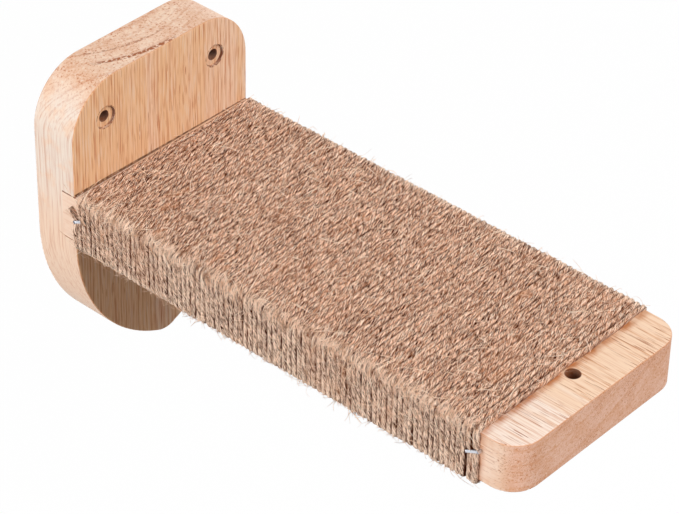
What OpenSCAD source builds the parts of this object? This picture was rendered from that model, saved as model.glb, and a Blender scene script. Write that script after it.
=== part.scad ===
// Cat wall shelf. A plank is let into a shield-shaped wall plate and held by two screws
// from behind. Jute twine is wound round the plank and stapled at both ends of the winding.
// Lengths are in millimetres. +Z is up, +X is right as seen from the front, and the back of
// the plate lies on y = 0, so the plank reaches out along -Y. The origin is midway between
// the two wall-screw holes, on the back of the plate.

/* [Whole shelf] */
// Width of the plate and of the plank
shelf_w = 80; // [70:1:100]

/* [Wall plate] */
// Height of the plate from its lower tip to its top edge
plate_h = 115; // [105:1:150]
// Thickness of the plate
plate_t = 18; // [15:0.5:25]
// Radius of the two top corners
plate_corner_r = 20; // [8:1:30]
// Radius of the two long curves that close the lower end
plate_flank_r = 60; // [52:1:72]
// Radius of the lower tip
plate_tip_r = 10; // [5:1:20]
// Rounding of the plate's edges
plate_edge_r = 0.4; // [0.2:0.1:3]
// Depth of the housing in the plate's face that takes the end of the plank
housing_depth = 6; // [3:0.5:9]

/* [Wall screw holes] */
// Distance of the wall screws from the plate's sides
wall_hole_inset = 15; // [11:0.5:24]
// Distance of the wall screws below the top edge
wall_hole_drop = 15; // [10:0.5:22]
// Diameter of the holes for the wall screws
wall_hole_d = 4; // [3:0.1:6]
// Diameter of the shallow recess round each hole
recess_d = 8; // [6.5:0.1:12]
// Depth of that recess
recess_depth = 1; // [0.5:0.1:3]

/* [Plank] */
// Thickness of the plank
plank_t = 18; // [14:0.5:25]
// Reach of the plank from the plate's face to its front end
plank_reach = 185; // [120:1:210]
// Distance of the plank's top below the plate's top edge
plank_drop = 39; // [32:1:48]
// Radius of the two front corners, seen from above
plank_corner_r = 10; // [4:1:25]
// Rounding of the plank's long and front edges
plank_edge_r = 0.4; // [0.2:0.1:3]
// Diameter of the upright hole for hanging a toy at the front end
toy_hole_d = 5; // [3:0.1:8]
// Distance of that hole's middle from the front end
toy_hole_inset = 12; // [9:0.5:20]

/* [Jute twine] */
// Diameter of the twine
twine_d = 1.6; // [1.4:0.1:3]
// Least space between neighbouring turns
twine_gap = 0.45; // [0.42:0.01:1]
// Space between the twine and what it lies on, or what lies on it
twine_clear = 0.2; // [0.1:0.05:0.4]
// Distance of the twine's cut ends from the middle of the plank's side
twine_end_reach = 5; // [4:0.1:6]

/* [Staples] */
// Width of the staple wire
staple_wire_w = 1; // [0.7:0.05:1.3]
// Thickness of the staple wire
staple_wire_t = 0.6; // [0.4:0.05:0.9]
// Depth of the staple legs in the wood
staple_bite = 8; // [5:0.5:12]
// Tilt of the staples, rising towards the front end
staple_tilt = 26; // [0:1:35]
// Height of the staples above the middle of the plank's side
staple_rise = 1.5; // [0:0.1:2]

/* [Plank screws] */
// Distance of the two screws that hold the plank from its sides
plank_screw_inset = 15; // [13:0.5:24]
// Length of a plank screw
plank_screw_l = 40; // [30:1:60]
// Diameter of its shank
plank_screw_d = 4; // [3:0.1:5]
// Diameter of its countersunk head
plank_screw_head_d = 8; // [6.5:0.1:9]

/* [Hidden] */
$fn = 96;
wood_color = "burlywood";
twine_color = "tan";
steel_color = "silver";
// Length by which every cut runs past the solid that it opens
overrun = 1;
// Space round a screw or a staple leg in its hole
fastener_clear = 0.05;
// Space between a staple leg and the twine or the plate beside it
staple_clear = 0.2;
// Space of the glue line above and below the plank in its housing
glue_line = 0.05;
// Space between the winding's last turn and the rim of the toy hole
rim_clear = 0.1;
// Depth of the screw heads under the back face
screw_sink = 0.5;
// Height of the straight rim of a screw head
screw_rim = 0.4;
// Length of a screw's point
screw_point = 4;
// Width and depth of the cross in a screw head
cross_slot_w = 1;
cross_slot_depth = 1.5;
// Length of that cross, as a share of the head's diameter
cross_share = 0.55;
// Radius of a round that the long curves of the plate would just touch, as a share of the tip's
tip_core_share = 0.9;
// Outer bend of a staple, as a share of the wire's thickness
bend_share = 1.5;

// Heights on the plate
plate_top = wall_hole_drop;
plate_bottom = plate_top - plate_h;
flank_offset = plate_flank_r - shelf_w / 2;
tip_level = plate_bottom + plate_tip_r;
tip_core_r = tip_core_share * plate_tip_r;
flank_level = plate_bottom + tip_core_r
    + sqrt(pow(plate_flank_r - tip_core_r, 2) - pow(flank_offset, 2));
flank_lean = atan2(flank_offset, flank_level - tip_level);
flank_foot = flank_level - plate_flank_r * cos(flank_lean);

// Places on the plank
plank_top = plate_top - plank_drop;
plank_bottom = plank_top - plank_t;
plank_mid = plank_top - plank_t / 2;
plank_back_y = housing_depth - plate_t;
plank_front_y = -plate_t - plank_reach;
plank_corner_y = plank_front_y + plank_corner_r;
toy_hole_y = plank_front_y + toy_hole_inset;

// Places of the twine's strands on the left side, counted from the plate's face. A strand that
// has a staple leg beside it stands further from its neighbour.
twine_r = twine_d / 2;
leg_span = staple_wire_t * cos(staple_tilt) + staple_wire_w * sin(staple_tilt);
leg_room = leg_span + 2 * staple_clear - twine_gap;
first_strand = staple_clear + leg_span + staple_clear + twine_r;
last_strand = plank_reach - toy_hole_inset - toy_hole_d / 2 - rim_clear - twine_r;
winding_l = last_strand - first_strand - 2 * leg_room;
turns = floor(winding_l / (twine_d + twine_gap));
pitch = winding_l / turns;
function strand(k) =
    first_strand + k * pitch + (k > 1 ? leg_room : 0) + (k > turns - 2 ? leg_room : 0);

// The twine's route: eight rings a turn, two at each edge of the plank
twine_sides = 6;
rings_per_turn = 8;
half_turn = 180 / rings_per_turn;
twine_flat = twine_r * cos(180 / twine_sides);
edge_turn_r = plank_edge_r + twine_clear + twine_flat;
side_x = shelf_w / 2 + twine_clear + twine_flat;
function ring_angle(i) = 180 + half_turn * (2 * i + 1);
function ring_out(i) = [cos(ring_angle(i)), 0, sin(ring_angle(i))] / cos(half_turn);
function ring_middle(i, y) = [
    sign(cos(ring_angle(i))) * (shelf_w / 2 - plank_edge_r) + edge_turn_r * ring_out(i).x,
    y,
    plank_mid + sign(sin(ring_angle(i))) * (plank_t / 2 - plank_edge_r) + edge_turn_r * ring_out(i).z
];
function ring_strand(k, i) =
    i < 2 ? strand(k) : i > rings_per_turn - 3 ? strand(k + 1) : (strand(k) + strand(k + 1)) / 2;
side_out = [-1, 0, 0];
route = concat(
    [[[-side_x, -plate_t - strand(0), plank_mid + twine_end_reach], side_out]],
    [for (k = [0 : turns - 1]) for (i = [0 : rings_per_turn - 1])
        [ring_middle(i, -plate_t - ring_strand(k, i)), ring_out(i)]],
    [[[-side_x, -plate_t - strand(turns), plank_mid - twine_end_reach], side_out]]
);

// Least gap between the twine and its own next turns, measured on the route's points
function line_gap(p, a, b) =
    let (along = b - a, at = ((p - a) * along) / (along * along))
    norm(a + max(0, min(1, at)) * along - p);
least_gap = min([
    for (i = [0 : len(route) - 1])
        for (j = [i + rings_per_turn / 2 : 1 : min(i + 2 * rings_per_turn, len(route) - 2)])
            line_gap(route[i][0], route[j][0], route[j + 1][0])
]) - twine_d;
echo(str("turns of twine: ", turns, ", least gap of the twine to itself: ", least_gap, " mm"));

// Sizes of a staple. Its legs straddle two strands.
leg_spacing = (pitch + twine_d + 2 * staple_clear + leg_span) / cos(staple_tilt);
staple_l = leg_spacing + staple_wire_t;
bend_r = bend_share * staple_wire_t;
crown_x = -shelf_w / 2 - 2 * twine_flat - 2 * twine_clear - staple_wire_t;
leg_l = staple_bite - shelf_w / 2 - crown_x;
rear_staple_y = -plate_t - (strand(0) + strand(1)) / 2;
front_staple_y = -plate_t - (strand(turns - 1) + strand(turns)) / 2;

// Rectangle with rounded corners, about its middle
module soft_rectangle(w, h, r) {
    square([w - 2 * r, h], center = true);
    square([w, h - 2 * r], center = true);
    for (across = [-1, 1])
        for (up = [-1, 1])
            translate([across * (w / 2 - r), up * (h / 2 - r)])
                circle(r = r);
}

// Disc with rounded rims, standing on z = 0
module soft_disc(r, thickness, rim_r) {
    translate([0, 0, thickness / 2])
        rotate_extrude()
            intersection() {
                soft_rectangle(2 * r, thickness, rim_r);
                translate([0, -thickness])
                    square([r + overrun, 2 * thickness]);
            }
}

// Region between the two long curves of the lower end: two discs, one for each curve
module flank_region() {
    intersection() {
        translate([flank_offset, flank_level])
            soft_disc(plate_flank_r, plate_t, plate_edge_r);
        translate([-flank_offset, flank_level])
            soft_disc(plate_flank_r, plate_t, plate_edge_r);
    }
}

// Plate before its housing and holes, lying on its back with its height along Y
module plate_body() {
    straight_h = plate_top - plate_corner_r - flank_level;
    translate([0, flank_level, plate_t / 2])
        rotate([-90, 0, 0])
            linear_extrude(straight_h)
                soft_rectangle(shelf_w, plate_t, plate_edge_r);
    translate([plate_corner_r - shelf_w / 2, plate_top - plate_corner_r, plate_t / 2])
        rotate([90, 0, 90])
            linear_extrude(shelf_w - 2 * plate_corner_r)
                soft_rectangle(2 * plate_corner_r, plate_t, plate_edge_r);
    for (side = [-1, 1])
        translate([side * (shelf_w / 2 - plate_corner_r), plate_top - plate_corner_r])
            soft_disc(plate_corner_r, plate_t, plate_edge_r);
    intersection() {
        flank_region();
        translate([-shelf_w, flank_foot, -overrun])
            cube([2 * shelf_w, flank_level - flank_foot, plate_t + 2 * overrun]);
    }
    intersection() {
        flank_region();
        translate([0, tip_level])
            soft_disc(plate_tip_r, plate_t, plate_edge_r);
    }
    // Block inside the outline, which ties the upper and lower regions into one solid
    translate([plate_corner_r - shelf_w / 2, flank_level - plate_corner_r])
        cube([shelf_w - 2 * plate_corner_r, straight_h + plate_corner_r, plate_t]);
}

// Plank before its holes: a long bar, a front bar and a revolved corner at each end of that
module plank_body() {
    translate([0, plank_back_y, plank_mid])
        rotate([90, 0, 0])
            linear_extrude(plank_back_y - plank_corner_y)
                soft_rectangle(shelf_w, plank_t, plank_edge_r);
    translate([plank_corner_r - shelf_w / 2, plank_corner_y, plank_mid])
        rotate([90, 0, 90])
            linear_extrude(shelf_w - 2 * plank_corner_r)
                soft_rectangle(2 * plank_corner_r, plank_t, plank_edge_r);
    for (side = [-1, 1])
        translate([side * (shelf_w / 2 - plank_corner_r), plank_corner_y, plank_bottom])
            soft_disc(plank_corner_r, plank_t, plank_edge_r);
}

// Half section of a plank screw from its head to its point, made larger by grow for its hole
module screw_section(grow) {
    head_r = plank_screw_head_d / 2 + grow;
    shank_r = plank_screw_d / 2 + grow;
    polygon([
        [0, 0],
        [head_r, 0],
        [head_r, screw_rim],
        [shank_r, screw_rim + head_r - shank_r],
        [shank_r, plank_screw_l - screw_point + grow],
        [0, plank_screw_l + grow]
    ]);
}

// Turns a shape that runs up from its base to run from the plate's back towards the front
module into_plank(side) {
    translate([side * (shelf_w / 2 - plank_screw_inset), -screw_sink, plank_mid])
        rotate([90, 0, 0])
            children();
}

module screw_holes() {
    for (side = [-1, 1])
        into_plank(side) {
            rotate_extrude()
                screw_section(fastener_clear);
            translate([0, 0, -screw_sink - overrun])
                cylinder(d = plank_screw_head_d + 2 * fastener_clear, h = screw_sink + overrun + screw_rim);
        }
}

module plank_screw(side) {
    cross_l = cross_share * plank_screw_head_d;
    color(steel_color)
        into_plank(side)
            difference() {
                rotate_extrude()
                    screw_section(0);
                for (turn = [0, 90])
                    rotate(turn)
                        translate([-cross_l / 2, -cross_slot_w / 2, -overrun])
                            cube([cross_l, cross_slot_w, cross_slot_depth + overrun]);
            }
}

// Puts a staple's own axes on the plank's left side: its crown along the tilt, its legs inwards
module on_left_side(y) {
    translate([crown_x, y, plank_mid + staple_rise])
        rotate([-staple_tilt, 0, 0])
            rotate([0, 0, -90])
                children();
}

// Outline of a staple: the crown along X and the legs, with cut points, along Y
module staple_outline() {
    difference() {
        union() {
            polygon([
                [-staple_l / 2, bend_r],
                [staple_l / 2, bend_r],
                [staple_l / 2, leg_l - staple_wire_t],
                [staple_l / 2 - staple_wire_t, leg_l],
                [staple_wire_t - staple_l / 2, leg_l],
                [-staple_l / 2, leg_l - staple_wire_t]
            ]);
            translate([bend_r - staple_l / 2, 0])
                square([staple_l - 2 * bend_r, bend_r]);
            for (side = [-1, 1])
                translate([side * (staple_l / 2 - bend_r), bend_r])
                    circle(r = bend_r);
        }
        translate([staple_wire_t - staple_l / 2, staple_wire_t])
            square([staple_l - 2 * staple_wire_t, leg_l]);
    }
}

module staple(y) {
    color(steel_color)
        on_left_side(y)
            translate([0, 0, -staple_wire_w / 2])
                linear_extrude(staple_wire_w)
                    staple_outline();
}

module leg_slots(y) {
    slot = [staple_wire_t + 2 * fastener_clear, leg_l + fastener_clear, staple_wire_w + 2 * fastener_clear];
    on_left_side(y)
        for (side = [-1, 1])
            translate([side * leg_spacing / 2 - slot.x / 2, 0, -slot.z / 2])
                cube(slot);
}

module wall_plate() {
    color(wood_color)
        difference() {
            rotate([90, 0, 0])
                plate_body();
            translate([-shelf_w / 2 - overrun, -plate_t - overrun, plank_bottom - glue_line])
                cube([shelf_w + 2 * overrun, housing_depth + overrun, plank_t + 2 * glue_line]);
            for (side = [-1, 1])
                translate([side * (shelf_w / 2 - wall_hole_inset), overrun, 0])
                    rotate([90, 0, 0]) {
                        cylinder(d = wall_hole_d, h = plate_t + 2 * overrun);
                        translate([0, 0, plate_t - recess_depth + overrun])
                            cylinder(d = recess_d, h = recess_depth + overrun);
                    }
            screw_holes();
        }
}

module shelf_plank() {
    color(wood_color)
        difference() {
            plank_body();
            translate([0, toy_hole_y, plank_bottom - overrun])
                cylinder(d = toy_hole_d, h = plank_t + 2 * overrun);
            screw_holes();
            leg_slots(rear_staple_y);
            leg_slots(front_staple_y);
        }
}

// One unbroken tube along the route
module jute_wrap() {
    points = [
        for (ring = route) for (j = [0 : twine_sides - 1])
            let (turn = 360 * j / twine_sides)
            ring[0] + twine_r * (cos(turn) * [0, 1, 0] + sin(turn) * ring[1])
    ];
    last_ring = len(points) - twine_sides;
    walls = [
        for (i = [0 : len(route) - 2]) for (j = [0 : twine_sides - 1])
            let (a = i * twine_sides + j, b = i * twine_sides + (j + 1) % twine_sides)
            each [[a, b, b + twine_sides], [a, b + twine_sides, a + twine_sides]]
    ];
    ends = [
        for (j = [1 : twine_sides - 2])
            each [[0, j + 1, j], [last_ring, last_ring + j, last_ring + j + 1]]
    ];
    color(twine_color)
        polyhedron(points, concat(walls, ends));
}

module rear_staple() {
    staple(rear_staple_y);
}

module front_staple() {
    staple(front_staple_y);
}

module plank_screw_left() {
    plank_screw(-1);
}

module plank_screw_right() {
    plank_screw(1);
}

wall_plate();
shelf_plank();
jute_wrap();
rear_staple();
front_staple();
plank_screw_left();
plank_screw_right();
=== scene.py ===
import math

import bpy
import numpy as np
from mathutils import Matrix, Quaternion, Vector


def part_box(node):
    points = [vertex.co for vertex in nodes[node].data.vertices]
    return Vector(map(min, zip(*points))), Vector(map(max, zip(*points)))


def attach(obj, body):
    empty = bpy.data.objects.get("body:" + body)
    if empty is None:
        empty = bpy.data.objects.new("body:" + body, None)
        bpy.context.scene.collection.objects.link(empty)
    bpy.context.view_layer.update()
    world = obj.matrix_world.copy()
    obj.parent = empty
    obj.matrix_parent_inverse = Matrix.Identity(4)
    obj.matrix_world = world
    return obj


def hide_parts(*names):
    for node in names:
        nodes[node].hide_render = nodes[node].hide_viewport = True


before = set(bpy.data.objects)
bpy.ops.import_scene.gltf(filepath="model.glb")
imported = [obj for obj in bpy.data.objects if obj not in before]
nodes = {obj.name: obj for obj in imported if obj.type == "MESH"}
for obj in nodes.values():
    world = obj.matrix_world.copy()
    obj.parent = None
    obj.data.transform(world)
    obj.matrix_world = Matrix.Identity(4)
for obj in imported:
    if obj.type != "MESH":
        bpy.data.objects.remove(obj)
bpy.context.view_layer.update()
mm = 0.001

# Places that the pieces are worked out from
plateLow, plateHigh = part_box("wall_plate")
plankLow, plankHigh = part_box("shelf_plank")
wrapLow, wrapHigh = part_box("jute_wrap")
plateFace = plateLow.y
plankMid = (plankLow.z + plankHigh.z) / 2
print("frame loaded:", len(nodes), "nodes")


# Small helpers

weldGap = 0.001 * mm


def deselectAll():
    for piece in bpy.context.selected_objects:
        piece.select_set(False)


def pick(piece):
    deselectAll()
    piece.select_set(True)
    bpy.context.view_layer.objects.active = piece


def dress(piece, material):
    piece.data.materials.clear()
    piece.data.materials.append(material)


def place(piece, node, slot):
    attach(piece, "root")
    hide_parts(node)


# Welds the active piece and turns its faces outwards
def closeMesh():
    bpy.ops.object.mode_set(mode="EDIT")
    bpy.ops.mesh.select_all(action="SELECT")
    bpy.ops.mesh.remove_doubles(threshold=weldGap)
    bpy.ops.mesh.normals_make_consistent(inside=False)
    bpy.ops.object.mode_set(mode="OBJECT")


def roundOutline(radius, corners):
    angles = [2 * math.pi * corner / corners for corner in range(corners)]
    return [(radius * math.cos(angle), radius * math.sin(angle)) for angle in angles]


# Sweeps a closed outline along one or more runs of points, and makes the result a mesh
def sweep(name, outline, runs):
    outlineCurve = bpy.data.curves.new(name + "Outline", "CURVE")
    outlineCurve.dimensions = "2D"
    rim = outlineCurve.splines.new("POLY")
    rim.points.add(len(outline) - 1)
    for point, (x, y) in zip(rim.points, outline):
        point.co = (x, y, 0, 1)
    rim.use_cyclic_u = True
    section = bpy.data.objects.new(name + "Outline", outlineCurve)
    bpy.context.collection.objects.link(section)

    curve = bpy.data.curves.new(name, "CURVE")
    curve.dimensions = "3D"
    curve.bevel_mode = "OBJECT"
    curve.bevel_object = section
    curve.use_fill_caps = True
    for run in runs:
        count = len(run["points"])
        spline = curve.splines.new("POLY")
        spline.points.add(count - 1)
        spline.points.foreach_set("co", np.c_[run["points"], np.ones(count)].ravel())
        spline.points.foreach_set("radius", run["radius"])
        spline.points.foreach_set("tilt", run["tilt"])
    piece = bpy.data.objects.new(name, curve)
    bpy.context.collection.objects.link(piece)
    pick(piece)
    bpy.ops.object.convert(target="MESH")
    piece = bpy.context.view_layer.objects.active
    bpy.data.objects.remove(section)
    closeMesh()
    return piece


# Shader helpers: a node's sockets take a value, or another node's output

def shaderNode(tree, kind, sockets=None, **settings):
    node = tree.nodes.new("ShaderNode" + kind)
    for setting, value in settings.items():
        setattr(node, setting, value)
    for socket, value in (sockets or {}).items():
        if isinstance(value, bpy.types.NodeSocket):
            tree.links.new(value, node.inputs[socket])
        else:
            node.inputs[socket].default_value = value
    return node


def scaled(tree, vector, scale, shift=(0, 0, 0)):
    return shaderNode(tree, "Mapping", {"Vector": vector, "Scale": scale, "Location": shift}).outputs[0]


def split(tree, vector):
    return shaderNode(tree, "SeparateXYZ", {0: vector}).outputs


def noise(tree, vector, detail=2, roughness=0.5):
    sockets = {"Vector": vector, "Scale": 1, "Detail": detail, "Roughness": roughness}
    return shaderNode(tree, "TexNoise", sockets).outputs[0]


def maths(tree, operation, first, second=0.0):
    return shaderNode(tree, "Math", {0: first, 1: second}, operation=operation).outputs[0]


def product(tree, first, *others):
    for other in others:
        first = maths(tree, "MULTIPLY", first, other)
    return first


# Goes from low at start to high at end. Dictionaries give a fade's two or four numbers in that order.
def fade(tree, value, start, end, low=0, high=1):
    sockets = {"Value": value, "From Min": start, "From Max": end, "To Min": low, "To Max": high}
    return shaderNode(tree, "MapRange", sockets, interpolation_type="SMOOTHSTEP").outputs[0]


# The same, with its start and end counted from an edge
def fadePast(tree, value, edge, shares):
    start, end = shares[:2]
    return fade(tree, value, edge + start, edge + end, *shares[2:])


def blendColors(tree, share, first, second):
    node = shaderNode(tree, "Mix", {0: share, 6: first, 7: second}, data_type="RGBA", blend_type="MIX")
    return node.outputs[2]


# Blends in one tone after another. Each mark has its pattern, its fade and its tone.
def markColors(tree, look, patterns, marks, color):
    for pattern, shares, tone in marks:
        color = blendColors(tree, fade(tree, patterns[pattern], *shares), color, look[tone])
    return color


def newMaterial(name):
    material = bpy.data.materials.new(name)
    material.use_nodes = True
    tree = material.node_tree
    return material, tree, tree.nodes["Principled BSDF"]


def setGloss(shader, look):
    shader.inputs["Roughness"].default_value = look["roughness"]
    shader.inputs["Specular IOR Level"].default_value = look["specular"]


# A colour as it is read off a screen, made linear
def screenColor(red, green, blue):
    parts = [value / 255 for value in (red, green, blue)]
    linear = [c / 12.92 if c <= 0.04045 else ((c + 0.055) / 1.055) ** 2.4 for c in parts]
    return (*linear, 1)


# Camera, floor and soft studio light

studio = {
    "cameraPlace": (-559.97 * mm, -590.21 * mm, 530.9 * mm),
    "aim": (-4.89 * mm, -101.23 * mm, -24 * mm),
    "cameraRoll": 1.255,                  # degrees
    "lens": 155.96,
    "sensor": 36,
    "clipStart": 0.01,
    "floorSize": 30,
    "floorDrop": 0.35,                    # below the plate's tip
    "floorColor": (0.17, 0.155, 0.15, 1),
    "floorRoughness": 0.9,
    "floorSeen": (0.95, 0.95, 0.95, 1),   # the same floor as the camera sees it
    "floorGlow": 0.9,                     # share of plain white in what the camera sees
    "worldLevel": 0.35,
    "worldSeen": 0.94,
    "lamps": {
        "keyLamp": {"place": (-1.7, 0.05, 0.25), "size": 1.2, "power": 24.5},
        "frontLamp": {"place": (0.35, -1.45, 1.2), "size": 1.3, "power": 29},
        "fillLamp": {"place": (1.4, 1.2, 0.35), "size": 1.6, "power": 14},
    },
}


# Sets up the camera or a lamp, looking at the object
def aimed(name, data, place):
    holder = bpy.data.objects.new(name, data)
    bpy.context.collection.objects.link(holder)
    holder.location = place
    ahead = Vector(studio["aim"]) - holder.location
    holder.rotation_mode = "QUATERNION"
    holder.rotation_quaternion = ahead.to_track_quat("-Z", "Y")
    return holder


def makeCamera():
    camera = aimed("camera", bpy.data.cameras.new("camera"), studio["cameraPlace"])
    camera.data.sensor_width = studio["sensor"]
    camera.data.lens = studio["lens"]
    camera.data.clip_start = studio["clipStart"]
    roll = Quaternion((0, 0, 1), math.radians(studio["cameraRoll"]))
    camera.rotation_quaternion = camera.rotation_quaternion @ roll
    bpy.context.scene.camera = camera


# 1 for what the camera sees straight on, in a mirror or through glass, and 0 for light on the object
def seenRays(tree):
    path = shaderNode(tree, "LightPath")
    seen = maths(tree, "MAXIMUM", path.outputs["Is Camera Ray"], path.outputs["Is Glossy Ray"])
    return maths(tree, "MAXIMUM", seen, path.outputs["Is Transmission Ray"])


def makeFloor():
    deselectAll()
    level = plateLow.z - studio["floorDrop"]
    bpy.ops.mesh.primitive_plane_add(size=studio["floorSize"], location=(0, 0, level))
    floor = bpy.context.object
    floor.name = "floor"
    material, tree, shader = newMaterial("paleFloor")
    seen = seenRays(tree)
    tone = blendColors(tree, seen, studio["floorColor"], studio["floorSeen"])
    tree.links.new(tone, shader.inputs["Base Color"])
    shader.inputs["Roughness"].default_value = studio["floorRoughness"]
    glow = shaderNode(tree, "Emission", {"Color": (1, 1, 1, 1), "Strength": 1})
    share = product(tree, seen, studio["floorGlow"])
    both = shaderNode(tree, "MixShader", {0: share, 1: shader.outputs[0], 2: glow.outputs[0]})
    tree.links.new(both.outputs[0], tree.nodes["Material Output"].inputs["Surface"])
    dress(floor, material)


def makeLight():
    world = bpy.data.worlds.new("studioWorld")
    world.use_nodes = True
    tree = world.node_tree
    backdrop = tree.nodes["Background"]
    backdrop.inputs["Color"].default_value = (1, 1, 1, 1)
    level = fade(tree, seenRays(tree), 0, 1, studio["worldLevel"], studio["worldSeen"])
    tree.links.new(level, backdrop.inputs["Strength"])
    bpy.context.scene.world = world
    for name, setup in studio["lamps"].items():
        lamp = bpy.data.lights.new(name, "AREA")
        lamp.size = setup["size"]
        lamp.energy = setup["power"]
        aimed(name, lamp, setup["place"])


bpy.context.scene.view_settings.view_transform = "Standard"
makeCamera()
makeFloor()
makeLight()
print("studio ready")


# Wood of the two boards: one solid pattern in each, so that edges and end grain agree with the faces

plateWood = {
    "name": "plateWood",
    "grainAxis": 2,
    "faceAxis": 1,                  # the way that the broad faces look
    "pith": (5 * mm, 35 * mm, 0),   # middle of the growth rings
    "rose": screenColor(238, 198, 166),
    "honey": screenColor(235, 189, 146),
    "line": screenColor(190, 108, 64),
    "pore": screenColor(172, 88, 42),
    "endGrain": screenColor(240, 207, 181),
    "endFrom": 0.5,                 # how far a face looks along the grain before end grain shows
    "drift": -5,                    # tone changes with x, per metre
    "toneShift": 0.1,               # towards the second tone all over
    "side": screenColor(238, 224, 211),
    "sideBlush": screenColor(240, 209, 185),
    "lowBlush": 0.9,                # least share of the second side tone low down
    "sideShare": 0.9,
    "sideLines": 0.5,               # how much of the lines shows on the sides
    "sidePores": 0.3,
    "rearPores": 1,                 # how much of the pores shows close to the wall
    "arris": screenColor(206, 138, 90),
    "across": (0.8, 0.6, 0),        # the way that the growth layers are counted
    "lineShare": 0.8,
    "fibreShare": 0.42,
    "poreReach": 40,
    "poreLimit": 0.76,
}
plankWood = {
    "name": "plankWood",
    "grainAxis": 1,
    "faceAxis": 2,
    "pith": (-30 * mm, 0, 60 * mm),
    "rose": screenColor(246, 226, 211),
    "honey": screenColor(241, 208, 179),
    "line": screenColor(204, 136, 86),
    "pore": screenColor(160, 88, 42),
    "endGrain": screenColor(229, 184, 160),
    "endFrom": 0.25,
    "drift": 10,
    "toneShift": 0.14,
    "side": screenColor(240, 208, 184),
    "sideBlush": screenColor(228, 182, 148),
    "lowBlush": 0,
    "sideShare": 0.75,
    "sideLines": 0.4,
    "sidePores": 1,
    "rearPores": 0,
    "arris": screenColor(204, 140, 94),
    "across": (0.8, 0, 0.6),
    "lineShare": 0.6,
    "fibreShare": 0.35,
    "poreReach": 36,
    "poreLimit": 0.7,
}
# What both boards share. A pattern along the grain has its repeats per mm across the grain, and how many
# times it is drawn out along it.
grain = {
    "sway": 18,                          # slow wander of the grain, repeats per metre
    "swayReach": 1.5 * mm,
    "band": (0.13, 25),
    "fibre": (1.7, 15),
    "strength": (0.8, 12),               # where the lines are strong
    "leastStrength": 0.2,
    "lines": ((0.6, 0.3), (1.1, 0.22)),  # two sorts, each with its number per mm and its width in mm
    "pores": 4.5,
    "crowd": (0.1, 3),                   # where the pores crowd
    "sparse": 0.07,                      # added to a board's own limit where they don't
    "dense": -0.05,
    "poreBlend": 0.05,
    "poreShare": 0.85,
    "rearFrom": (2.5, 2),                # in thicknesses of the plate
    "rings": 0.42,                       # repeats per mm, as the next two
    "speckle": 1.3,
    "mottle": 0.16,
    "middle": (0.35, 0.65),              # where a noise goes from one tone to the other
    "endBlend": 0.45,
    "sideBlend": (0.6, 0.2),
    "edgeBlend": (0.03, 0.2, 0, 0.5),
    "sideMottle": (0.4, 0.7),
    "blushTop": (-15 * mm, -45 * mm),
    "blushFoot": (-92 * mm, -68 * mm),
    "darkFibre": (0.48, 0.3),
    "paleFibre": (0.52, 0.7, 0, 0.6),
    "endMarks": (
        ("rings", (0.45, 0.8, 0, 0.45), "line"),
        ("mottle", (0.35, 0.65, 0, 0.35), "arris"),
        ("speckle", (0.54, 0.68, 0, 0.75), "line"),
        ("speckle", (0.64, 0.72, 0, 0.5), "pore"),
        ("speckle", (0.45, 0.3, 0, 0.6), "side"),
    ),
    "gloss": (0, 1, 0.58, 0.7),          # roughness between the lines and on them
    "specular": 0.2,
    "lineDepth": 0.4,                    # as a share of a pore's depth
    "poreDepth": 0.06 * mm,
    "bump": 0.1,
}
# Scorched wood, also used as painted shade in holes, recesses and gaps
scorchAndShade = screenColor(116, 56, 22)
crack = screenColor(158, 88, 48)


# How often a pattern repeats in a metre: finely across the grain, and drawn out along it
def grainScale(look, perMm, reach):
    scale = [perMm / mm] * 3
    scale[look["grainAxis"]] /= reach
    return scale


# Distance of a point from a line along one of the axes
def axisDistance(tree, spot, through, axis):
    flatten = [1, 1, 1]
    flatten[axis] = 0
    shift = [-part * keep for part, keep in zip(through, flatten)]
    offset = scaled(tree, spot, flatten, shift)
    return shaderNode(tree, "VectorMath", {0: offset}, operation="LENGTH").outputs["Value"]


# 1 within half a width of a middle value, softly 0 outside
def stripe(tree, value, middle, width):
    away = maths(tree, "ABSOLUTE", maths(tree, "SUBTRACT", value, middle))
    return fade(tree, away, 0.3 * width, 0.7 * width, 1, 0)


# Thin lines at uneven distances, each with its own strength
def grainLines(tree, across, perMm, wide):
    sockets = {"W": product(tree, across, perMm / mm), "Scale": 1, "Randomness": 1}
    layer = shaderNode(tree, "TexVoronoi", sockets, voronoi_dimensions="1D", feature="F1")
    near = fade(tree, layer.outputs["Distance"], 0.8 * wide * perMm, 0.25 * wide * perMm)
    own = shaderNode(tree, "SeparateColor", {0: layer.outputs["Color"]}).outputs[0]
    return product(tree, near, fade(tree, own, 0, 1, grain["leastStrength"], 1))


# Where the end grain, the sides and the eased edges show
def woodMasks(tree, look, facing):
    towards = [maths(tree, "ABSOLUTE", part) for part in facing]
    onFace = towards[look["faceAxis"]]
    turning = product(tree, maths(tree, "SUBTRACT", 1, onFace), onFace)
    return {
        "end": fade(tree, towards[look["grainAxis"]], look["endFrom"], look["endFrom"] + grain["endBlend"]),
        "side": fade(tree, onFace, *grain["sideBlend"]),
        "edge": fade(tree, turning, *grain["edgeBlend"]),
    }


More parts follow.
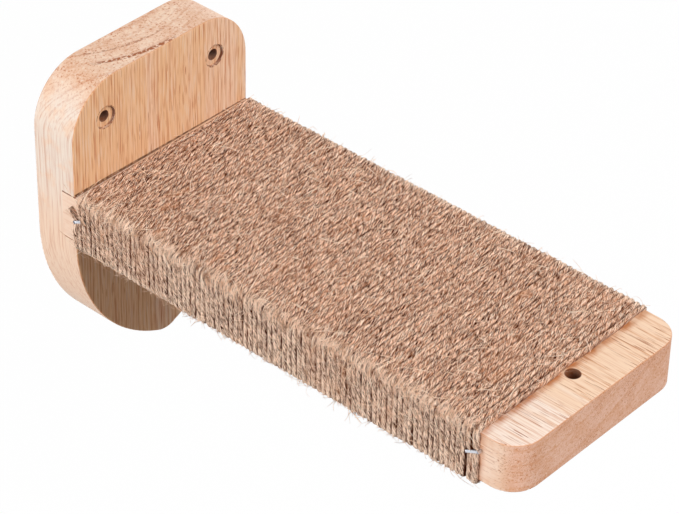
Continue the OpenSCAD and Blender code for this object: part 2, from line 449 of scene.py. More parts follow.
# Bands, fibres, lines and short open pores along the grain
def grainPatterns(tree, look, spot, masks):
    x, y = split(tree, spot)[:2]
    sway = product(tree, noise(tree, scaled(tree, spot, [grain["sway"]] * 3), 1), grain["swayReach"])
    sway = shaderNode(tree, "CombineXYZ", dict.fromkeys((0, 1, 2), sway)).outputs[0]
    swayed = shaderNode(tree, "VectorMath", {0: spot, 1: sway}, operation="ADD").outputs[0]

    band = noise(tree, scaled(tree, swayed, grainScale(look, *grain["band"])), 2)
    drift = product(tree, x, look["drift"])
    band = maths(tree, "ADD", band, maths(tree, "ADD", drift, look["toneShift"]))
    fibre = noise(tree, scaled(tree, swayed, grainScale(look, *grain["fibre"]), (1, 4, 2)), 1)

    dot = shaderNode(tree, "VectorMath", {0: swayed, 1: look["across"]}, operation="DOT_PRODUCT")
    layers = [grainLines(tree, dot.outputs["Value"], *sort) for sort in grain["lines"]]
    strength = noise(tree, scaled(tree, spot, grainScale(look, *grain["strength"])), 1)
    strength = fade(tree, strength, *grain["middle"], grain["leastStrength"], 1)
    lines = product(tree, maths(tree, "MAXIMUM", *layers), strength,
                    fade(tree, masks["side"], 0, 1, 1, look["sideLines"]))

    pores = noise(tree, scaled(tree, swayed, grainScale(look, grain["pores"], look["poreReach"])), 0)
    crowd = noise(tree, scaled(tree, spot, grainScale(look, *grain["crowd"]), (2, 5, 1)), 1)
    limits = [look["poreLimit"] + grain["sparse"], look["poreLimit"] + grain["dense"]]
    limit = fade(tree, crowd, *grain["middle"], *limits)
    rear = [share * plateFace for share in grain["rearFrom"]]
    pores = product(tree, fade(tree, maths(tree, "SUBTRACT", pores, limit), 0, grain["poreBlend"]),
                    fade(tree, masks["side"], 0, 1, 1, look["sidePores"]),
                    fade(tree, y, *rear, 1, look["rearPores"]))
    return {"band": band, "fibre": fibre, "lines": lines, "pores": pores}


# Growth rings, pores and patches, seen on the end grain
def endPatterns(tree, spot, radius):
    sockets = {"W": product(tree, radius, grain["rings"] / mm), "Scale": 1, "Detail": 3, "Roughness": 0.6}
    return {
        "rings": shaderNode(tree, "TexNoise", sockets, noise_dimensions="1D").outputs[0],
        "speckle": noise(tree, scaled(tree, spot, [grain["speckle"] / mm] * 3), 2, 0.7),
        "mottle": noise(tree, scaled(tree, spot, [grain["mottle"] / mm] * 3), 3, 0.6),
    }


def woodColor(tree, look, spot, masks, patterns):
    height = split(tree, spot)[2]
    low = product(tree, fade(tree, height, *grain["blushTop"]), fade(tree, height, *grain["blushFoot"]))
    blush = fade(tree, patterns["mottle"], *grain["sideMottle"])
    blush = maths(tree, "MAXIMUM", blush, product(tree, low, look["lowBlush"]))
    sides = blendColors(tree, blush, look["side"], look["sideBlush"])
    color = blendColors(tree, fade(tree, patterns["band"], *grain["middle"]), look["rose"], look["honey"])
    color = blendColors(tree, product(tree, masks["side"], look["sideShare"]), color, sides)

    share = fade(tree, masks["side"], 0, 1, look["fibreShare"], look["fibreShare"] * look["sideLines"])
    dark = product(tree, fade(tree, patterns["fibre"], *grain["darkFibre"]), share)
    pale = product(tree, fade(tree, patterns["fibre"], *grain["paleFibre"]), share)
    color = blendColors(tree, dark, color, look["line"])
    color = blendColors(tree, pale, color, look["side"])
    color = blendColors(tree, product(tree, patterns["lines"], look["lineShare"]), color, look["line"])

    ends = markColors(tree, look, patterns, grain["endMarks"], look["endGrain"])
    color = blendColors(tree, masks["end"], color, ends)
    color = blendColors(tree, masks["edge"], color, look["arris"])
    return blendColors(tree, product(tree, patterns["pores"], grain["poreShare"]), color, look["pore"])


# Gives the board's material as far as both boards share it. Its colour isn't linked yet.
def woodMaterial(look):
    material, tree, shader = newMaterial(look["name"])
    coordinates = shaderNode(tree, "TexCoord")
    spot = coordinates.outputs["Object"]
    facing = split(tree, coordinates.outputs["Normal"])
    masks = woodMasks(tree, look, facing)
    radius = axisDistance(tree, spot, look["pith"], look["grainAxis"])
    patterns = grainPatterns(tree, look, spot, masks)
    patterns.update(endPatterns(tree, spot, radius))
    color = woodColor(tree, look, spot, masks, patterns)

    tree.links.new(fade(tree, patterns["lines"], *grain["gloss"]), shader.inputs["Roughness"])
    depth = maths(tree, "MAXIMUM", product(tree, patterns["lines"], grain["lineDepth"]), patterns["pores"])
    relief = {"Height": product(tree, depth, -1), "Strength": grain["bump"], "Distance": grain["poreDepth"]}
    tree.links.new(shaderNode(tree, "Bump", relief).outputs[0], shader.inputs["Normal"])
    shader.inputs["Specular IOR Level"].default_value = grain["specular"]
    return {"material": material, "tree": tree, "shader": shader, "spot": spot, "radius": radius,
            "up": facing[2], "color": color}


def finishBoard(wood, color, node):
    wood["tree"].links.new(color, wood["shader"].inputs["Base Color"])
    nodes[node].material_slots[0].material = wood["material"]


# Marks on the plate: screw recesses darkened partly by scorch and partly by painted shade, painted shade in
# the holes, two open rings in the top's end grain, and a dark line of painted shade above the first turn of
# twine
plateMarks = {
    "holeInset": 15 * mm,
    "holeRadius": 2 * mm,
    "holeRim": (0.05 * mm, 0.15 * mm, 0.8, 0),   # from the hole outwards
    "recessRadius": 4 * mm,
    "wallWidth": 0.5 * mm,
    "wallDepth": (0.05 * mm, 0.25 * mm),         # below the plate's face
    "wallRagged": (0.3, 0.55, 0.3, 0.95),
    "wallSlant": 0.6,
    "wallFall": (-2.5 * mm, 2 * mm, 0.25, 1),    # painted shade on the far wall, weaker at the lower left
    "rimStep": 0.1 * mm,                         # from the wall to the torn rim
    "rimWidth": 0.35 * mm,
    "rimTorn": (0.42, 0.58, 0.1, 0.75),
    "frontHalf": (0.6, 0.8),                     # in thicknesses of the plate
    "openRings": ((52 * mm, 1.5 * mm, 1), (45.7 * mm, 1 * mm, 0.6)),
    "openFrom": -24 * mm,
    "openTo": 10 * mm,
    "openBlend": 6 * mm,
    "openTop": (0.6, 0.9),
    "openTorn": (0.4, 0.52),
    "openShake": 1 * mm,
    "seamReach": 1.2 * mm,                       # height of the line of painted shade at the left
    "seamFall": 0.75 * mm,                       # how much lower it lies at the right
    "seamDepth": (0.2 * mm, 0.1 * mm, 0, 0.85),  # below the plate's face
    "seamRagged": (0.35, 0.6, 0.45, 1),
    "seamShade": screenColor(70, 36, 18),
}


# Darkens a screw recess: its far wall with scorch and painted shade, its torn rim with scorch, and its hole
# with painted shade
def shadeAndScorchRecess(wood, color, side, ragged, torn):
    tree, spot = wood["tree"], wood["spot"]
    x, y, z = split(tree, spot)
    away = axisDistance(tree, spot, (side, 0, 0), 1)
    slant = maths(tree, "ADD", maths(tree, "SUBTRACT", x, side), product(tree, z, plateMarks["wallSlant"]))
    wall = product(tree, stripe(tree, away, plateMarks["recessRadius"], plateMarks["wallWidth"]),
                   fadePast(tree, y, plateFace, plateMarks["wallDepth"]),
                   fade(tree, ragged, *plateMarks["wallRagged"]),
                   fade(tree, slant, *plateMarks["wallFall"]))
    rim = stripe(tree, away, plateMarks["recessRadius"] + plateMarks["rimStep"], plateMarks["rimWidth"])
    rim = product(tree, rim, fade(tree, torn, *plateMarks["rimTorn"]))
    front = fade(tree, y, *[share * plateFace for share in plateMarks["frontHalf"]])
    recessShadeAndScorch = product(tree, maths(tree, "MAXIMUM", wall, rim), front)
    # painted shade inside the hole
    holeShade = fadePast(tree, away, plateMarks["holeRadius"], plateMarks["holeRim"])
    return blendColors(tree, maths(tree, "MAXIMUM", recessShadeAndScorch, holeShade), color, scorchAndShade)


def openRings(wood, color, ragged, torn):
    tree = wood["tree"]
    x = split(tree, wood["spot"])[0]
    start, end, blend = plateMarks["openFrom"], plateMarks["openTo"], plateMarks["openBlend"]
    window = product(tree, fade(tree, x, start, start + blend), fade(tree, x, end - blend, end, 1, 0),
                     fade(tree, wood["up"], *plateMarks["openTop"]),
                     fade(tree, torn, *plateMarks["openTorn"]))
    shake = plateMarks["openShake"]
    shaky = maths(tree, "ADD", wood["radius"], product(tree, ragged, shake))
    for radius, width, share in plateMarks["openRings"]:
        ring = stripe(tree, shaky, radius + shake / 2, width)
        color = blendColors(tree, product(tree, ring, window, share), color, crack)
    return color


# Painted shade in a dark line on the plate, just above where the first turn of twine meets it
def paintSeamShade(wood, color, ragged):
    tree = wood["tree"]
    x, y, z = split(tree, wood["spot"])
    fall = fade(tree, x, plateLow.x, plateHigh.x, 0, plateMarks["seamFall"])
    above = maths(tree, "SUBTRACT", maths(tree, "ADD", z, fall), plankHigh.z)
    reach = plateMarks["seamReach"]
    seamShade = product(tree, fade(tree, above, reach, 0.75 * reach), fade(tree, above, -reach, 0),
                   fadePast(tree, y, plateFace, plateMarks["seamDepth"]),
                   fade(tree, ragged, *plateMarks["seamRagged"]))
    return blendColors(tree, seamShade, color, plateMarks["seamShade"])


def finishPlate():
    wood = woodMaterial(plateWood)
    tree, spot, color = wood["tree"], wood["spot"], wood["color"]
    ragged = noise(tree, scaled(tree, spot, (500, 500, 300)), 2)
    torn = noise(tree, scaled(tree, spot, (1100, 1100, 700), (3, 0, 4)), 1)
    for side in (plateLow.x + plateMarks["holeInset"], plateHigh.x - plateMarks["holeInset"]):
        color = shadeAndScorchRecess(wood, color, side, ragged, torn)
    color = openRings(wood, color, ragged, torn)
    color = paintSeamShade(wood, color, ragged)
    finishBoard(wood, color, "wall_plate")


# Marks on the plank: painted shade in the toy hole, a stain along the last turn of twine that is partly
# varnish and partly painted shade at the twine's edge, and a dark line of painted shade where the plank
# goes into the plate
plankMarks = {
    "holeInset": 12 * mm,                         # from the front end
    "holeRadius": 2.5 * mm,
    "holeRim": (0.05 * mm, 0.2 * mm, 0.8, 0),     # from the hole outwards
    "stainAndShade": screenColor(186, 112, 60),
    "stainStart": (-3 * mm, 0),                   # from the front of the winding
    "stainEnd": (2 * mm, 4 * mm, 1, 0),
    "stainRagged": (0.3, 0.65, 0.15, 0.9),
    "notchTop": (-0.5 * mm, -0.3 * mm, 0, 0.85),  # from the plank's top
    "notchEnd": (-0.5 * mm, 0),                   # from the plate's face
}


def finishPlank():
    wood = woodMaterial(plankWood)
    tree, spot = wood["tree"], wood["spot"]
    y, z = split(tree, spot)[1:3]
    ragged = noise(tree, scaled(tree, spot, (180, 180, 180)), 2)

    # A band at the front of the winding, partly a stain and partly painted shade cast by the twine's edge
    stainAndShade = product(tree, fadePast(tree, y, wrapLow.y, plankMarks["stainStart"]),
                    fadePast(tree, y, wrapLow.y, plankMarks["stainEnd"]),
                    fade(tree, ragged, *plankMarks["stainRagged"]))
    color = blendColors(tree, stainAndShade, wood["color"], plankMarks["stainAndShade"])
    # Painted shade inside the toy hole
    away = axisDistance(tree, spot, (0, plankLow.y + plankMarks["holeInset"], 0), 2)
    holeShade = fadePast(tree, away, plankMarks["holeRadius"], plankMarks["holeRim"])
    color = blendColors(tree, holeShade, color, scorchAndShade)
    # Painted shade in the gap where the plank goes into the plate
    notchShade = product(tree, fadePast(tree, z, plankHigh.z, plankMarks["notchTop"]),
                    fadePast(tree, y, plateFace, plankMarks["notchEnd"]))
    color = blendColors(tree, notchShade, color, scorchAndShade)
    finishBoard(wood, color, "shelf_plank")


finishPlate()
finishPlank()
print("boards finished")


# Jute twine: a soft round yarn of fibre bundles, wound round the plank in one run

twine = {
    "turns": 82,
    "reach": 1.05 * mm,           # radius of the twine
    "edgeRound": 0.4 * mm,        # rounding of the plank's edges
    "lift": 0.72 * mm,            # middle of the twine above the wood
    "twistLength": -16 * mm,      # one turn of the twist, left-handed
    "step": 0.6 * mm,
    "outlinePoints": 18,
    "bundleRise": 0.06 * mm,      # how far the bundles of fibre stand in and out
    "bundleReach": 4,             # rings over which a bundle comes and goes
    "bundleLightAndShade": 0.17,           # painted light and shade: how much paler a raised bundle is, and darker a sunken one
    "pieces": 8,
    "startRise": 4.6 * mm,        # cut end above the middle of the plank's side
    "startFree": 2 * mm,          # where that end comes free of the plank
    "startLean": 2.6 * mm,        # how far it leans towards the plate
    "startCurve": 1.3,
    "startThin": 0.3,             # how much thinner it gets
    "endDrop": 22 * mm,           # the far end goes on, round to the underside
    "partings": 45,               # places where neighbouring turns stand apart
    "partingReach": (4, 12),      # in mm along the twine
    "partingSize": (0.12, 0.3),   # in mm
    "thinner": 0.9 * mm,          # how much less it stands out at the far upper edge
    "pinch": 0.95 * mm,           # how far a staple presses it in
    "pinchReach": 1.4 * mm,
    "lastSlip": 0.25 * mm,        # how far the last turn lies off the others
    "seed": 11,
}
# Unevenness along the twine: the lengths of its waves, and their size
uneven = {
    "together": ((90 * mm, 47 * mm, 31 * mm), 0.1 * mm),   # neighbouring turns, sideways
    "alone": ((23 * mm, 14.7 * mm, 9.1 * mm), 0.05 * mm),  # each turn by itself, sideways
    "last": ((41 * mm, 17 * mm), 0.15 * mm),
    "out": ((37 * mm, 17 * mm, 8.3 * mm), 0.06 * mm),
    "radius": ((52 * mm, 19 * mm, 7.7 * mm), 0.05),
    "twist": ((61 * mm, 29 * mm), 0.5),
}
turnShift = 18 * mm  # how far the waves of neighbouring turns move on in a turn


# Sum of slow waves with seeded phases
def waves(draw, along, lengths, size):
    total = np.zeros_like(along)
    for length in lengths:
        total += np.sin(2 * np.pi * (along / length + draw.random()))
    return size * total / math.sqrt(len(lengths))


# One turn's path round the plank, from the middle of its left side downwards.
# Gives the place and the outward direction in the plank's cross section.
def turnPath(t):
    bend = twine["edgeRound"] + twine["lift"]
    halfWide = (plankHigh.x - plankLow.x) / 2 - twine["edgeRound"]
    halfHigh = (plankHigh.z - plankLow.z) / 2 - twine["edgeRound"]
    arc = bend * math.pi / 2
    corners = ((-1, -1), (1, -1), (1, 1), (-1, 1))
    straights = (halfHigh, 2 * halfWide, 2 * halfHigh, 2 * halfWide, halfHigh)
    starts = (
        (-halfWide - bend, 0),
        (-halfWide, -halfHigh - bend),
        (halfWide + bend, -halfHigh),
        (halfWide, halfHigh + bend),
        (-halfWide - bend, halfHigh),
    )
    x, z, angle = np.zeros((3, len(t)))
    begun = 0.0
    for side, (straight, (fromX, fromZ)) in enumerate(zip(straights, starts)):
        heading = -math.pi / 2 + side * math.pi / 2
        here = (t >= begun) & (t <= begun + straight)
        run = t[here] - begun
        x[here] = fromX + run * math.cos(heading)
        z[here] = fromZ + run * math.sin(heading)
        angle[here] = heading - math.pi / 2
        begun += straight
        if side < len(corners):
            here = (t > begun) & (t < begun + arc)
            turned = heading - math.pi / 2 + (t[here] - begun) / bend
            cornerX, cornerZ = corners[side]
            x[here] = cornerX * halfWide + bend * np.cos(turned)
            z[here] = cornerZ * halfHigh + bend * np.sin(turned)
            angle[here] = turned
            begun += arc
    return x, z, angle


def turnLength():
    bend = twine["edgeRound"] + twine["lift"]
    wide = plankHigh.x - plankLow.x - 2 * twine["edgeRound"]
    high = plankHigh.z - plankLow.z - 2 * twine["edgeRound"]
    return 2 * (wide + high) + 2 * math.pi * bend


# How far a staple presses the twine in
def stapled(node, x, y, z):
    low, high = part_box(node)
    slope = (high.z - low.z) / (high.y - low.y)
    above = z - (low.z + high.z) / 2 + slope * (y - (low.y + high.y) / 2)
    held = (x < plankLow.x) & (y > low.y) & (y < high.y)
    return np.where(held, twine["pinch"] * np.exp(-(above / twine["pinchReach"]) ** 2), 0)


# Middle line of the whole twine with its outward directions, radius and twist
def twineLine():
    draw = np.random.default_rng(twine["seed"])
    length = turnLength()
    along = np.arange(-twine["startRise"], twine["turns"] * length + twine["endDrop"], twine["step"])
    turn = np.floor(along / length)
    t = along - turn * length
    x, z, angle = turnPath(np.clip(t, 0, length))
    z = z + plankMid
    first = plateFace - twine["reach"]
    last = wrapLow.y + twine["reach"]
    y = first + (last - first) * along / (twine["turns"] * length)

    # Neighbouring turns wander together, and each a little by itself
    y += waves(draw, t + turn * turnShift, *uneven["together"])
    y += waves(draw, along, *uneven["alone"])
    for parting in range(twine["partings"]):
        between = draw.integers(1, twine["turns"] - 1) + 0.5
        spot = draw.random() * length
        reach = draw.uniform(*twine["partingReach"]) * mm
        size = draw.uniform(*twine["partingSize"]) * mm
        near = np.exp(-((t - spot) / reach) ** 2 - np.abs(turn - between) / 2)
        y -= size * near * np.sign(turn - between)
    onLast = along > (twine["turns"] - 1) * length
    y += np.where(onLast, waves(draw, t, *uneven["last"]) - twine["lastSlip"], 0)
    tail = np.clip(-along - twine["startFree"], 0, None) / (twine["startRise"] - twine["startFree"])
    y += twine["startLean"] * tail ** twine["startCurve"]

    # It lies closest to the wood at the far upper edge and under the staples
    out = waves(draw, along, *uneven["out"])
    right = (x - plankLow.x) / (plankHigh.x - plankLow.x)
    up = (z - plankLow.z) / (plankHigh.z - plankLow.z)
    back = (y - wrapLow.y) / (wrapHigh.y - wrapLow.y)
    out -= twine["thinner"] * np.clip(right, 0, 1) * (0.5 + 0.5 * up) * (0.55 + 0.45 * back)
    for node in ("rear_staple", "front_staple"):
        out -= stapled(node, x, y, z)
    points = np.c_[x + out * np.cos(angle), y, z + out * np.sin(angle)]
    radius = 1 + waves(draw, along, *uneven["radius"])
    radius *= 1 - twine["startThin"] * np.clip(tail, 0, 1)
    twist = 2 * np.pi * along / twine["twistLength"] + waves(draw, along, *uneven["twist"])
    return {"points": points, "angle": angle, "along": along, "radius": radius, "tilt": twist}


juteLook = {
    "name": "juteTwine",
    "straw": screenColor(255, 226, 202),
    "tan": screenColor(238, 179, 144),
    "brown": screenColor(199, 137, 100),
    "shade": screenColor(64, 20, 2),
    "gapShadeTone": screenColor(84, 32, 8),
    "rust": screenColor(196, 126, 78),
    "patterns": {                          # what it follows, its scale, shift and detail
        "fibres": ("run", (7, 7, 460), (4, 1, 7), 0),
        "strands": ("run", (7, 7, 390), (9, 3, 2), 0),
        "grit": ("run", (9, 9, 850), (1, 8, 5), 0),
        "patch": ("spot", (30, 70, 30), (0, 0, 0), 3),
        "rusty": ("spot", (60, 150, 60), (3, 1, 2), 2),
        "broken": ("spot", (110, 560, 110), (0, 0, 0), 1),
    },
    # painted shade on sunken bundles, painted highlight on raised ones
    "bundleShade": (0.3, 0.7),
    "wearAndHighlight": (-3 * mm, 0, 0, 0.75),         # paler with wear and painted highlight: from the plank's side outwards
    "rear": (-60 * mm, -5 * mm, 0, 0.45),  # painted shade near the plate: from the plate's face
    "edgeAcross": (-1.2 * mm, 0.8 * mm),   # long edges paler, partly painted highlight: from the plank's side outwards
    "edgeUp": (-3 * mm, 0.4 * mm),         # and from its top or underside outwards
    "dashes": (
        ("grit", (0.5, 0.3, 0, 0.7), "shade"),
        ("grit", (0.5, 0.7, 0, 0.8), "straw"),
        ("strands", (0.57, 0.62), "straw"),
    ),
    "darkFibres": (0.45, 0.41),
    "darkOnEdge": (0, 1, 1, 0.75),         # less on the painted highlight along the edges
    "gap": (0.62, 0.9),                    # painted shade: how far the twine's surface looks along the plank
    "gapBroken": (0.44, 0.62, 0.15, 1),
    "gapOnSide": (-0.5 * mm, 0.5 * mm, 0.55, 1),
    "stains": (
        ("patch", (0.5, 0.8, 0, 0.2), "brown"),
        ("rusty", (0.62, 0.8, 0, 0.4), "rust"),
    ),
    "bump": 0.6,
    "bumpDepth": 0.12 * mm,
    "roughness": 0.85,
    "specular": 0.05,
}


# Mostly even in tone, with thin dark and pale dashes along the lay and painted shade in the gaps between
# the turns
def juteMaterial(look):
    material, tree, shader = newMaterial(look["name"])
    coordinates = shaderNode(tree, "TexCoord")
    spot = coordinates.outputs["Object"]
    run = shaderNode(tree, "Attribute", attribute_name="fibreRun").outputs["Vector"]
    rise = shaderNode(tree, "Attribute", attribute_name="fibreRise").outputs["Fac"]
    sideways = split(tree, coordinates.outputs["Normal"])[1]
    vectors = {"run": run, "spot": spot}
    patterns = {}
    for pattern, (vector, scale, shift, detail) in look["patterns"].items():
        patterns[pattern] = noise(tree, scaled(tree, vectors[vector], scale, shift), detail)

    # Base tone with painted light and shade on the bundles, paler on the sides with wear and painted
    # highlight, and painted shade at the rear
    x, y, z = split(tree, spot)
    fromMiddle = maths(tree, "ABSOLUTE", x)
    fromLevel = maths(tree, "ABSOLUTE", maths(tree, "SUBTRACT", z, plankMid))
    # Painted highlight along the twine's long edges
    edge = product(tree, fadePast(tree, fromMiddle, plankHigh.x, look["edgeAcross"]),
                   fadePast(tree, fromLevel, plankHigh.z - plankMid, look["edgeUp"]))
    color = blendColors(tree, fade(tree, rise, *look["bundleShade"]), look["brown"], look["tan"])
    color = blendColors(tree, fadePast(tree, fromMiddle, plankHigh.x, look["wearAndHighlight"]), color, look["straw"])
    # painted shade near the plate
    color = blendColors(tree, fadePast(tree, y, plateFace, look["rear"]), color, look["brown"])
    color = blendColors(tree, edge, color, look["straw"])

    # Dashes, painted shade in the gaps, and stains
    color = markColors(tree, look, patterns, look["dashes"], color)
    fibres = patterns["fibres"]
    dark = product(tree, fade(tree, fibres, *look["darkFibres"]), fade(tree, edge, *look["darkOnEdge"]))
    color = blendColors(tree, dark, color, look["shade"])
    gap = product(tree, fade(tree, maths(tree, "ABSOLUTE", sideways), *look["gap"]),
                  fade(tree, patterns["broken"], *look["gapBroken"]),
                  fadePast(tree, fromMiddle, plankHigh.x, look["gapOnSide"]))
    color = blendColors(tree, gap, color, look["gapShadeTone"])
    color = markColors(tree, look, patterns, look["stains"], color)
    tree.links.new(color, shader.inputs["Base Color"])
    relief = {"Height": fibres, "Strength": look["bump"], "Distance": look["bumpDepth"]}
    tree.links.new(shaderNode(tree, "Bump", relief).outputs[0], shader.inputs["Normal"])
    setGloss(shader, look)
    return material


# Lets the bundles of fibre stand in and out, each over a short stretch of the twine, and keeps their height
# for painted light and shade
def raiseBundles(mesh, rings, corners, draw):
    window = np.hanning(twine["bundleReach"] + 2)
    rough = draw.standard_normal((rings + len(window) - 1, corners))
    smooth = np.stack([np.convolve(rough[:, corner], window, "valid") for corner in range(corners)], 1)
    level = smooth.ravel() / np.sqrt((window ** 2).sum())
    rise = twine["bundleRise"] * level
    count = len(mesh.vertices)
    points, outward = np.empty((2, 3 * count), np.float32)
    mesh.vertices.foreach_get("co", points)
    mesh.vertices.foreach_get("normal", outward)
    points = points.reshape(-1, 3)
    points[:len(rise)] += rise[:, None] * outward.reshape(-1, 3)[:len(rise)]
    mesh.vertices.foreach_set("co", points.ravel())
    shown = np.full(count, 0.5, np.float32)
    shown[:len(level)] += twine["bundleLightAndShade"] * level
    mesh.attributes.new("fibreRise", "FLOAT", "POINT").data.foreach_set("value", shown)
    mesh.update()


# Gives each point its place round and along the twine, which the fibres of the material follow
def layFibres(mesh, along, corners):
    around = 2 * np.pi * (np.arange(len(along) * corners) % corners) / corners
    fibre = np.zeros((len(mesh.vertices), 3), np.float32)
    fibre[:len(around)] = np.c_[np.cos(around), np.sin(around), np.repeat(along, corners)]
    lay = mesh.attributes.new("fibreRun", "FLOAT_VECTOR", "POINT")
    lay.data.foreach_set("vector", fibre.ravel())


def makeTwine(line, material):
    draw = np.random.default_rng(twine["seed"] + 1)
    corners = twine["outlinePoints"]
    outline = roundOutline(twine["reach"], corners)
    count = len(line["points"])
    cuts = [round(count * share / twine["pieces"]) for share in range(twine["pieces"] + 1)]
    for number in range(twine["pieces"]):
        part = slice(cuts[number], min(cuts[number + 1] + 1, count))
        run = {key: line[key][part] for key in ("points", "radius", "tilt")}
        piece = sweep("juteTwine%d" % (number + 1), outline, [run])
        bpy.ops.object.shade_smooth()
        raiseBundles(piece.data, len(run["points"]), corners, draw)
        layFibres(piece.data, line["along"][part], corners)
        dress(piece, material)
        place(piece, "jute_wrap", "jute")
        print("twine piece", number + 1, len(piece.data.vertices), "points")


line = twineLine()
makeTwine(line, juteMaterial(juteLook))


# Loose fibres: short ones that lie on the twine, long ones that stand away from it, the frayed cut end,
# and a few that cover part of the rear staple. Lengths are in mm, turns in radians.

usualFibre = {"where": "edges", "heading": "both", "freeShare": 0.5, "finish": "fibre"}
looseFibres = {
    "juteFuzz": {**usualFibre, "count": 7000, "points": 5, "length": (1.5, 4.5), "rise": (0.05, 0.3),
                 "turn": 0.55, "curl": 0.2, "radius": (0.07, 0.11), "seed": 21},
    "juteHairs": {**usualFibre, "count": 800, "points": 7, "length": (3, 9), "rise": (0.15, 0.4),
                  "turn": 0.9, "curl": 0.25, "radius": (0.1, 0.16), "seed": 24, "finish": "hair"},
    "juteStrays": {**usualFibre, "count": 280, "points": 8, "length": (3.5, 9), "rise": (0.3, 1.6),
                   "turn": 0.9, "curl": 0.4, "radius": (0.035, 0.06), "seed": 22},
    "juteTail": {**usualFibre, "count": 26, "points": 5, "length": (1.2, 3.2), "rise": (0.1, 0.6),
                 "turn": 0.4, "curl": 0.3, "radius": (0.07, 0.12), "seed": 23,
                 "where": "cutEnd", "heading": "back"},
    "juteCover": {**usualFibre, "count": 40, "points": 6, "length": (3.5, 5.5), "rise": (0.85, 1.15),
                  "turn": 0.25, "curl": 0.1, "radius": (0.12, 0.2), "seed": 25,
                  "where": "staple", "heading": "ahead", "freeShare": 0},
}
# How often fibres come loose, against 1 on the plank's broad faces, how they lie and how they look
fibreWays = {
    "upperEdge": 26,
    "lowerEdge": 4,
    "rightSide": 0.3,
    "edgeSpan": 0.23 * math.pi,   # angle either way of the middle of an edge
    "endMargin": 2,               # points at the twine's ends that none starts from
    "coverShare": 0.45,           # share of the staple, from its front, that is covered
    "coverAhead": 0.5 * mm,       # in front of the staple
    "coverLow": 1.8 * mm,         # lowest and highest start above the staple's middle
    "coverHigh": 3.6 * mm,
    "root": 0.02 * mm,            # depth of a fibre's start in the twine
    "freeCurve": 1.6,
    "taper": 0.6,
    "drawnIn": 0.7,               # of what a fibre reaches past the plank's side
    "drop": 0.6,
    "toneScale": (280, 280, 280),
    "darkTone": (0.3, 0.45),
    "paleTone": (0.45, 0.6),
    "roughness": 0.7,
    "specular": 0.1,
}
fibreLook = {
    "name": "juteFibre",
    "pale": screenColor(250, 218, 194),
    "straw": screenColor(232, 192, 162),
    "dark": screenColor(144, 92, 62),
}
hairLook = {
    "name": "juteHair",
    "pale": screenColor(255, 234, 212),
    "straw": screenColor(252, 220, 192),
    "dark": screenColor(226, 184, 152),
}


def fibreMaterial(look):
    material, tree, shader = newMaterial(look["name"])
    spot = shaderNode(tree, "TexCoord").outputs["Object"]
    tone = noise(tree, scaled(tree, spot, fibreWays["toneScale"]), 1)
    color = blendColors(tree, fade(tree, tone, *fibreWays["darkTone"]), look["dark"], look["straw"])
    color = blendColors(tree, fade(tree, tone, *fibreWays["paleTone"]), color, look["pale"])
    tree.links.new(color, shader.inputs["Base Color"])
    setGloss(shader, fibreWays)
    return material


# Chance of each of the twine's points that a fibre starts there
def fibreChance(line, where):
    margin = fibreWays["endMargin"]
    inner = slice(margin, -margin)
    angle = np.mod(line["angle"][inner], 2 * np.pi)
    if where == "cutEnd":
        chance = (line["along"][inner] < -twine["startFree"]).astype(float)
    elif where == "staple":
        low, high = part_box("rear_staple")
        x, y, z = line["points"][inner].T
        above = z - (low.z + high.z) / 2
        covered = low.y + fibreWays["coverShare"] * (high.y - low.y)
        beside = (x < plankLow.x) & (y < covered) & (y > low.y - fibreWays["coverAhead"])
        over = (above > fibreWays["coverLow"]) & (above < fibreWays["coverHigh"])
        chance = (beside & over).astype(float)
    else:
        chance = np.ones(len(angle))
        chance[np.abs(angle - 0.75 * np.pi) < fibreWays["edgeSpan"]] = fibreWays["upperEdge"]
        chance[np.abs(angle - 1.25 * np.pi) < fibreWays["edgeSpan"]] = fibreWays["lowerEdge"]
        chance[np.cos(angle) > 0.5] = fibreWays["rightSide"]
    return chance / chance.sum()


# A fibre that runs out over a side of the plank hangs down along it
def drape(points):
    past = np.clip(np.abs(points[:, 0]) - plankHigh.x - 2 * twine["reach"], 0, None)
    points[:, 0] -= fibreWays["drawnIn"] * past * np.sign(points[:, 0])
    points[:, 2] -= fibreWays["drop"] * past
    return points


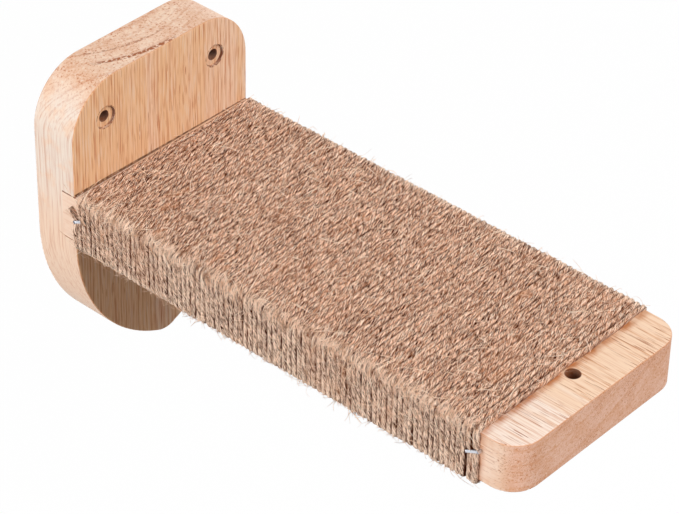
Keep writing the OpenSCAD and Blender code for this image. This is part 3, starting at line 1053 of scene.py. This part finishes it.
def makeFibres(name, setup, line, material):
    draw = np.random.default_rng(setup["seed"])
    count = setup["count"]
    margin = fibreWays["endMargin"]
    starts = np.arange(margin, len(line["points"]) - margin)
    at = draw.choice(starts, count, p=fibreChance(line, setup["where"]))
    ahead = line["points"][at + 1] - line["points"][at - 1]
    ahead /= np.linalg.norm(ahead, axis=1)[:, None]
    outward = np.c_[np.cos(line["angle"][at]), np.zeros(count), np.sin(line["angle"][at])]
    across = np.cross(outward, ahead)
    turned = draw.normal(0, setup["turn"], count)
    if setup["heading"] == "back":
        turned += np.pi
    elif setup["heading"] == "both":
        turned += np.pi * draw.integers(0, 2, count)
    heading = np.cos(turned)[:, None] * ahead + np.sin(turned)[:, None] * across
    sideways = np.cross(outward, heading)
    length = draw.uniform(*setup["length"], count) * mm
    rise = draw.uniform(*setup["rise"], count) * mm
    curl = draw.normal(0, setup["curl"], count) * length
    free = draw.random(count) < setup["freeShare"]
    thick = draw.uniform(*setup["radius"], count)
    start = line["points"][at] + (twine["reach"] - fibreWays["root"]) * outward
    run = np.linspace(0, 1, setup["points"])
    runs = []
    for fibre in range(count):
        lifted = run ** fibreWays["freeCurve"] if free[fibre] else 4 * run * (1 - run)
        points = start[fibre] + np.outer(run * length[fibre], heading[fibre])
        points += np.outer(curl[fibre] * run ** 2, sideways[fibre])
        points += np.outer(rise[fibre] * lifted, outward[fibre])
        taper = thick[fibre] * (1 - fibreWays["taper"] * run)
        runs.append({"points": drape(points), "radius": taper, "tilt": np.zeros(len(run))})
    piece = sweep(name, roundOutline(1 * mm, 3), runs)
    bpy.ops.object.shade_smooth()
    dress(piece, material)
    place(piece, "jute_wrap", "jute")
    print(name, count, "fibres")


fibreFinishes = {"fibre": fibreMaterial(fibreLook), "hair": fibreMaterial(hairLook)}
for name, setup in looseFibres.items():
    makeFibres(name, setup, line, fibreFinishes[setup["finish"]])


# Staples: flat wire, bent over two turns of twine

staple = {
    "wide": 1.05 * mm,
    "thick": 0.6 * mm,
    "round": 0.14 * mm,
    "roundSteps": 3,
    "bend": 0.55 * mm,           # radius of the bend, to the middle of the wire
    "bendSteps": 6,
    "tilt": 26,                  # degrees, rising towards the front
    "smoothAngle": 40,
}
steelLook = {
    "staple": {"name": "stapleSteel", "color": (0.64, 0.66, 0.72, 1), "roughness": 0.28},
    "screw": {"name": "screwSteel", "color": (0.54, 0.52, 0.46, 1), "roughness": 0.38},
}
dulled = {
    "color": (0.4, 0.4, 0.42, 1),
    "scale": (900, 900, 900),
    "share": (0.45, 0.75, 0, 0.35),
    "smoother": 0.06,            # less rough where bright
    "rougher": 0.14,             # more rough where dull
}


def steelMaterial(look):
    material, tree, shader = newMaterial(look["name"])
    spot = shaderNode(tree, "TexCoord").outputs["Object"]
    dull = noise(tree, scaled(tree, spot, dulled["scale"]), 3)
    tint = blendColors(tree, fade(tree, dull, *dulled["share"]), look["color"], dulled["color"])
    tree.links.new(tint, shader.inputs["Base Color"])
    smooth, rough = look["roughness"] - dulled["smoother"], look["roughness"] + dulled["rougher"]
    tree.links.new(fade(tree, dull, 0.3, 0.7, smooth, rough), shader.inputs["Roughness"])
    shader.inputs["Metallic"].default_value = 1
    return material


def pullWire(way):
    bpy.ops.mesh.extrude_region_move(TRANSFORM_OT_translate={"value": way})


def bendWire(middle):
    bpy.ops.mesh.spin(steps=staple["bendSteps"], angle=math.pi / 2, center=middle, axis=(0, 1, 0))


def makeStaple(name, node, material):
    low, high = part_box(node)
    tilt = math.radians(staple["tilt"])
    length = (high.y - low.y - staple["wide"] * math.sin(tilt)) / math.cos(tilt)
    bend = staple["bend"]
    leg = high.x - low.x - bend - staple["thick"] / 2
    deselectAll()
    bpy.ops.mesh.primitive_plane_add(size=1)
    piece = bpy.context.object
    piece.name = name
    bpy.ops.object.mode_set(mode="EDIT")
    bpy.ops.mesh.select_all(action="SELECT")
    bpy.ops.transform.resize(value=(staple["thick"], staple["wide"], 1))
    bpy.ops.mesh.bevel(offset=staple["round"], segments=staple["roundSteps"], affect="VERTICES")
    pullWire((0, 0, leg))
    bendWire((bend, 0, leg))
    pullWire((length - staple["thick"] - 2 * bend, 0, 0))
    bendWire((length - staple["thick"] - bend, 0, leg))
    pullWire((0, 0, -leg))
    closeMesh()

    # The crown runs along the side of the plank, the legs go into it
    crown = Vector((0, -math.cos(tilt), math.sin(tilt)))
    out = Vector((-1, 0, 0))
    turned = Matrix((crown, out.cross(crown), out)).transposed().to_4x4()
    middle = Vector((high.x, (low.y + high.y) / 2, (low.z + high.z) / 2))
    start = middle - crown * (length - staple["thick"]) / 2
    piece.matrix_world = Matrix.Translation(start) @ turned
    bpy.ops.object.transform_apply(location=True, rotation=True, scale=True)
    bpy.ops.object.shade_smooth_by_angle(angle=math.radians(staple["smoothAngle"]))
    dress(piece, material)
    place(piece, node, "staple_steel")


stapleSteel = steelMaterial(steelLook["staple"])
makeStaple("rearStaple", "rear_staple", stapleSteel)
makeStaple("frontStaple", "front_staple", stapleSteel)
screwSteel = steelMaterial(steelLook["screw"])
for name in ("plank_screw_left", "plank_screw_right"):
    nodes[name].material_slots[0].material = screwSteel
print("staples and screws finished")
